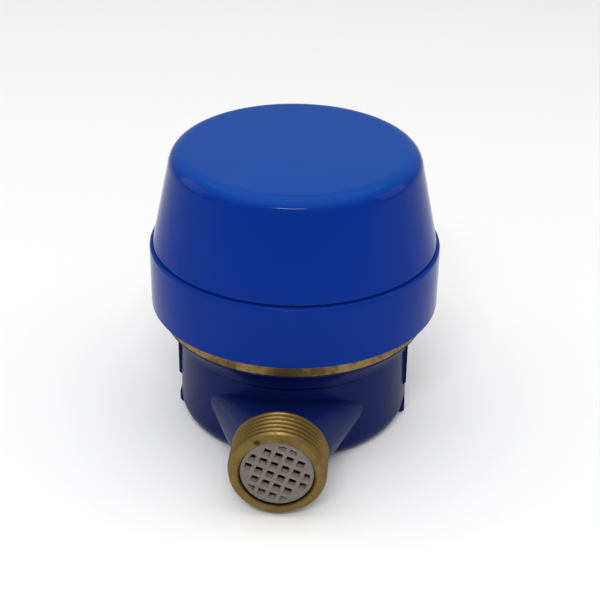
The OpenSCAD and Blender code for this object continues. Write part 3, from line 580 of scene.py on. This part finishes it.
def rounded_box(centre, half, corner, count=40):
    """Outline of a rectangle with round corners: half size less corner, plus a circle of radius corner."""
    turn = np.linspace(0, 2 * np.pi, count, endpoint=False) + np.pi / count
    way = np.stack([np.cos(turn), np.sin(turn)], axis=-1)
    return np.asarray(centre) + np.sign(way) * (np.asarray(half) - corner) + corner * way


def ring_of(centre, radius, count=96):
    """Outline of a circle."""
    turn = np.linspace(0, 2 * np.pi, count, endpoint=False)
    return np.asarray(centre) + radius * np.stack([np.cos(turn), np.sin(turn)], axis=-1)


def printed_on_dial(part):
    """Flat points raised to the dial's face."""
    points, triangles = part
    return np.column_stack([points, np.full(len(points), DIAL_Z)]), triangles


def place_piece(name, mesh, body, material):
    """Links a finished piece, which rides on a body and takes the given material."""
    obj = bpy.data.objects.new(name, mesh)
    bpy.context.scene.collection.objects.link(obj)
    mesh.materials.clear()
    mesh.materials.append(material)
    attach(obj, body)
    return obj


def thicken(obj, thickness):
    """Gives a flat print its thickness, outwards."""
    solidify = obj.modifiers.new("ink", "SOLIDIFY")
    solidify.thickness, solidify.offset = thickness, 1.0


def coat(material, *nodes):
    """Gives CAD nodes their finish."""
    for name in nodes:
        NODES[name].data.materials.clear()
        NODES[name].data.materials.append(material)


class MeterOperator(bpy.types.Operator):
    """Shared access to the settings."""

    bl_options = {"REGISTER", "UNDO"}

    def settings(self, context):
        return context.scene.meter


class METER_OT_casting(MeterOperator):
    """Cuts the threads of both ports into the cast body and paints it"""

    bl_idname = "meter.casting"
    bl_label = "Casting"

    def execute(self, context):
        meter = self.settings(context)
        solid = new_mesh("body_casting", *merged_solid("meter_body"))
        grooves = new_mesh("grooves", *joined([thread_groove(side, meter.thread) for side in (-1, 1)]))
        mesh = carved(solid, grooves)
        mesh.shade_smooth()
        mesh.set_sharp_from_angle(angle=SHARP_EDGE)
        piece = place_piece("body_casting", mesh, "frame", casting_paint(meter.colours))
        piece.modifiers.new("weighted", "WEIGHTED_NORMAL").keep_sharp = True
        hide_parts("meter_body")
        return {"FINISHED"}


class METER_OT_brasswork(MeterOperator):
    """Finishes the clamp ring and the pressure plate"""

    bl_idname = "meter.brasswork"
    bl_label = "Brasswork"

    def execute(self, context):
        coat(ring_brass(self.settings(context).colours), "clamp_ring", "pressure_plate")
        return {"FINISHED"}


class METER_OT_covers(MeterOperator):
    """Finishes the blue lid and register housing"""

    bl_idname = "meter.covers"
    bl_label = "Lid and housing"

    def execute(self, context):
        tones = self.settings(context).colours
        for node, rough in COVER_ROUGHNESS.items():
            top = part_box(node)[1].z
            # Each cover's top takes a painted highlight, a lighter blue standing in for overhead light.
            coat(gloss_moulding(node + "_moulding", tones.moulding, tones.faded, top, rough), node)
        return {"FINISHED"}


class METER_OT_wet_side(MeterOperator):
    """Finishes the strainer, the impeller, the seals and the steel pins"""

    bl_idname = "meter.wet_side"
    bl_label = "Wet side"

    def execute(self, context):
        tones = self.settings(context).colours
        coat(strainer_moulding(tones), "inlet_strainer")
        coat(matt_moulding("impeller_moulding", tones.white, rough=0.4), "impeller")
        ferrite = matt_moulding("ferrite", shade(tones.black, 4), rough=0.55, grain=0.2 * MM)
        coat(ferrite, "drive_magnet", "follower_magnet")
        rubber = matt_moulding("seal_rubber", shade(tones.black, 1.2), rough=0.7, grain=0.3 * MM)
        coat(rubber, "plate_seal", "lens_gasket")
        coat(ground_steel(tones), "lower_pivot", "frame_screws", "number_shaft", "pinion_shaft", "hinge_pin")
        return {"FINISHED"}


class METER_OT_register(MeterOperator):
    """Finishes the register's case, movement, dial, hands and lens"""

    bl_idname = "meter.register"
    bl_label = "Register"

    def execute(self, context):
        tones = self.settings(context).colours
        wheels = [n for n in NODES if n.startswith("carry_pinion_")]
        wheels += ["follower_spindle", "first_wheel", "second_wheel", "third_wheel"]
        coat(matt_moulding("wheel_moulding", tones.ivory, rough=0.4), *wheels)
        coat(matt_moulding("movement_moulding", shade(tones.ivory, 0.9)), "movement_plate", "upper_bridge")
        coat(matt_moulding("case_moulding", shade(tones.black, 2), rough=0.4), "register_case", "bezel")
        coat(matt_moulding("dial_card", tones.white, grain=0.15 * MM), "dial_plate")
        coat(matt_moulding("hand_moulding", tones.red, rough=0.35), "flow_star", "pointer")
        coat(clear_lens(), "lens")
        return {"FINISHED"}


class METER_OT_number_wheels(MeterOperator):
    """Finishes the number wheels and prints the figures on them"""

    bl_idname = "meter.number_wheels"
    bl_label = "Number wheels"

    def execute(self, context):
        meter = self.settings(context)
        red = matt_moulding("red_wheel_moulding", meter.colours.red, rough=0.4)
        black = matt_moulding("black_wheel_moulding", meter.colours.black, rough=0.4)
        ink = matt_moulding("white_ink", meter.colours.white, rough=0.5, grain=0.1 * MM)
        figures = [flat_figure(str(k), meter.ink.drum_figure) for k in range(FIGURES)]
        middle, pitch = self.spacing()
        for i in range(1, DRUMS + 1):
            coat(red if i <= meter.ink.red_wheels else black, f"number_wheel_{i}")
            rolled = [self.rolled(figure, k, middle - i * pitch) for k, figure in enumerate(figures)]
            mesh = new_mesh(f"wheel_figures_{i}", *joined(rolled))
            piece = place_piece(f"wheel_figures_{i}", mesh, f"number_wheel_{i}", ink)
            thicken(piece, meter.ink.ink)
        return {"FINISHED"}

    @staticmethod
    def spacing():
        """Place of the row's start and the distance between wheels, from two wheels that are alike."""
        third, fourth = (sum(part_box(f"number_wheel_{i}"), Vector()).x / 2 for i in (3, 4))
        return third + 3 * (third - fourth), third - fourth

    @staticmethod
    def rolled(figure, k, x):
        """Figure k wrapped on a wheel: height over the wheel's radius is the angle from the top towards +Y, and
        each next figure stands a tenth of a turn further round."""
        points, triangles = figure
        angle = points[:, 1] / DRUM_R + k * 2 * np.pi / FIGURES
        wrapped = np.column_stack([np.zeros(len(points)), np.sin(angle), np.cos(angle)]) * DRUM_R
        wrapped[:, 0] = points[:, 0] + x
        return wrapped + DRUM_AXIS * (0, 1, 1), triangles


class METER_OT_dial_print(MeterOperator):
    """Prints the scale round the pointer and the frames round the windows"""

    bl_idname = "meter.dial_print"
    bl_label = "Dial print"

    def execute(self, context):
        meter = self.settings(context)
        ink = meter.ink
        middle, pitch = METER_OT_number_wheels.spacing()
        marks = np.arange(FIGURES * SUBMARKS)
        angles = marks * 2 * np.pi / len(marks)
        at_figure = marks % SUBMARKS == 0
        r, border = ink.scale_r, DIAL_R - ink.edge
        black = [
            bars(POINTER_AT, r, r + ink.long_mark, angles[at_figure], 1.5 * ink.line),
            bars(POINTER_AT, r, r + ink.short_mark, angles[~at_figure], 0.6 * ink.line),
            band(ring_of(POINTER_AT, r - ink.line / 2), ring_of(POINTER_AT, r)),
            band(ring_of(STAR_AT, ink.star_r), ring_of(STAR_AT, ink.star_r + ink.line)),
            band(ring_of((0, 0), border), ring_of((0, 0), border + 2 * ink.line)),
        ]
        for k, angle in enumerate(angles[at_figure]):
            points, triangles = flat_figure(str(k), ink.scale_figure, rows=2)
            at = POINTER_AT + (r + ink.figure_out) * np.array([math.sin(angle), math.cos(angle)])
            black.append((points + at, triangles))
        reds, whole = self.frames(ink, middle, pitch)
        for name, parts, slot, tone in (("dial_marks", black + [whole], "drum_black", meter.colours.black),
                                        ("dial_red_frame", [reds], "hand_red", meter.colours.red)):
            mesh = new_mesh(name, *joined([printed_on_dial(part) for part in parts]))
            layer = matt_moulding(name + "_ink", tone, rough=0.5, grain=0.1 * MM)
            piece = place_piece(name, mesh, "frame", layer)
            thicken(piece, ink.ink)
        return {"FINISHED"}

    @staticmethod
    def frames(ink, middle, pitch):
        """Frames round the red and the black windows, as bands twice as wide as a line."""
        made = []
        for first, last in ((1, ink.red_wheels), (ink.red_wheels + 1, DRUMS)):
            ends = middle - pitch * np.array([first, last])
            row = np.array([ends[0] - ends[1] + ink.window_w, ink.window_h])
            half = row / 2 + np.array([ink.frame_side, ink.frame_top])
            centre = (ends.mean(), DRUM_AXIS[1])
            made.append(band(rounded_box(centre, half, ink.frame_corner),
                             rounded_box(centre, half + 2 * ink.line, ink.frame_corner + 2 * ink.line)))
        return made


class METER_OT_studio(MeterOperator):
    """Sets the pale floor, the soft light and the camera of the photograph's view"""

    bl_idname = "meter.studio"
    bl_label = "Studio"

    def execute(self, context):
        studio = self.settings(context).studio
        scene = context.scene
        self.floor(scene, studio)
        self.lights(scene, studio)
        self.camera(scene, studio)
        scene.view_settings.view_transform = "Standard"
        return {"FINISHED"}

    @staticmethod
    def floor(scene, studio):
        """Square floor under the base."""
        corners = FLOOR_HALF * np.array([[-1, -1, 0], [1, -1, 0], [1, 1, 0], [-1, 1, 0]])
        mesh = new_mesh("floor", corners, halved(np.arange(4)))
        mesh.materials.append(floor_finish(studio.floor))
        obj = bpy.data.objects.new("floor", mesh)
        scene.collection.objects.link(obj)

    @staticmethod
    def lights(scene, studio):
        """White room, a key softbox overhead, a thin strip in front and weak softboxes at the sides."""
        world = bpy.data.worlds.new("room")
        world.use_nodes = True
        background = world.node_tree.nodes["Background"]
        background.inputs["Color"].default_value = (1.0, 1.0, 1.0, 1.0)
        background.inputs["Strength"].default_value = studio.room
        scene.world = world
        for name, (place, width, height, share) in SOFTBOXES.items():
            light = bpy.data.lights.new(f"{name}_softbox", "AREA")
            light.energy, light.shape = studio.light * share, "RECTANGLE"
            light.size, light.size_y = width, height
            obj = bpy.data.objects.new(light.name, light)
            obj.location = place
            obj.rotation_mode = "QUATERNION"
            obj.rotation_quaternion = (LIGHT_AIM - obj.location).to_track_quat("-Z", "Y")
            scene.collection.objects.link(obj)

    @staticmethod
    def camera(scene, studio):
        """Camera on a sphere about the middle of the pipe, aimed at the picture's centre and rolled."""
        data = bpy.data.cameras.new("camera")
        data.lens, data.sensor_width = studio.lens, SENSOR_WIDTH
        data.clip_start, data.clip_end = CLIP_START, CLIP_END
        obj = bpy.data.objects.new("camera", data)
        level = math.cos(studio.elevation)
        back = Vector((math.sin(studio.azimuth) * level, -math.cos(studio.azimuth) * level, math.sin(studio.elevation)))
        obj.location = Vector((0, 0, PIPE_Z)) + studio.distance * back
        view = Vector((studio.aim_x, 0, studio.aim_z)) - obj.location
        obj.rotation_mode = "QUATERNION"
        obj.rotation_quaternion = view.to_track_quat("-Z", "Y") @ Quaternion((0, 0, 1), studio.roll)
        scene.collection.objects.link(obj)
        scene.camera = obj


PIECES = (METER_OT_casting, METER_OT_brasswork, METER_OT_covers, METER_OT_wet_side, METER_OT_register,
          METER_OT_number_wheels, METER_OT_dial_print, METER_OT_studio)


class METER_PT_sidebar(bpy.types.Panel):
    """Lists the pieces of the meter"""

    bl_idname = "METER_PT_sidebar"
    bl_label = "Water meter"
    bl_space_type = "VIEW_3D"
    bl_region_type = "UI"
    bl_category = "Meter"

    def draw(self, context):
        for piece in PIECES:
            self.layout.operator(piece.bl_idname)


CLASSES = (ThreadSizes, PrintSizes, FinishColours, StudioSizes, MeterSettings, *PIECES, METER_PT_sidebar)


def register():
    for cls in CLASSES:
        bpy.utils.register_class(cls)
    bpy.types.Scene.meter = PointerProperty(type=MeterSettings)


def unregister():
    del bpy.types.Scene.meter
    for cls in reversed(CLASSES):
        bpy.utils.unregister_class(cls)


def main():
    """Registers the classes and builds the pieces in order."""
    register()
    for piece in PIECES:
        group, name = piece.bl_idname.split(".")
        getattr(getattr(bpy.ops, group), name)()


if __name__ == "__main__":
    main()
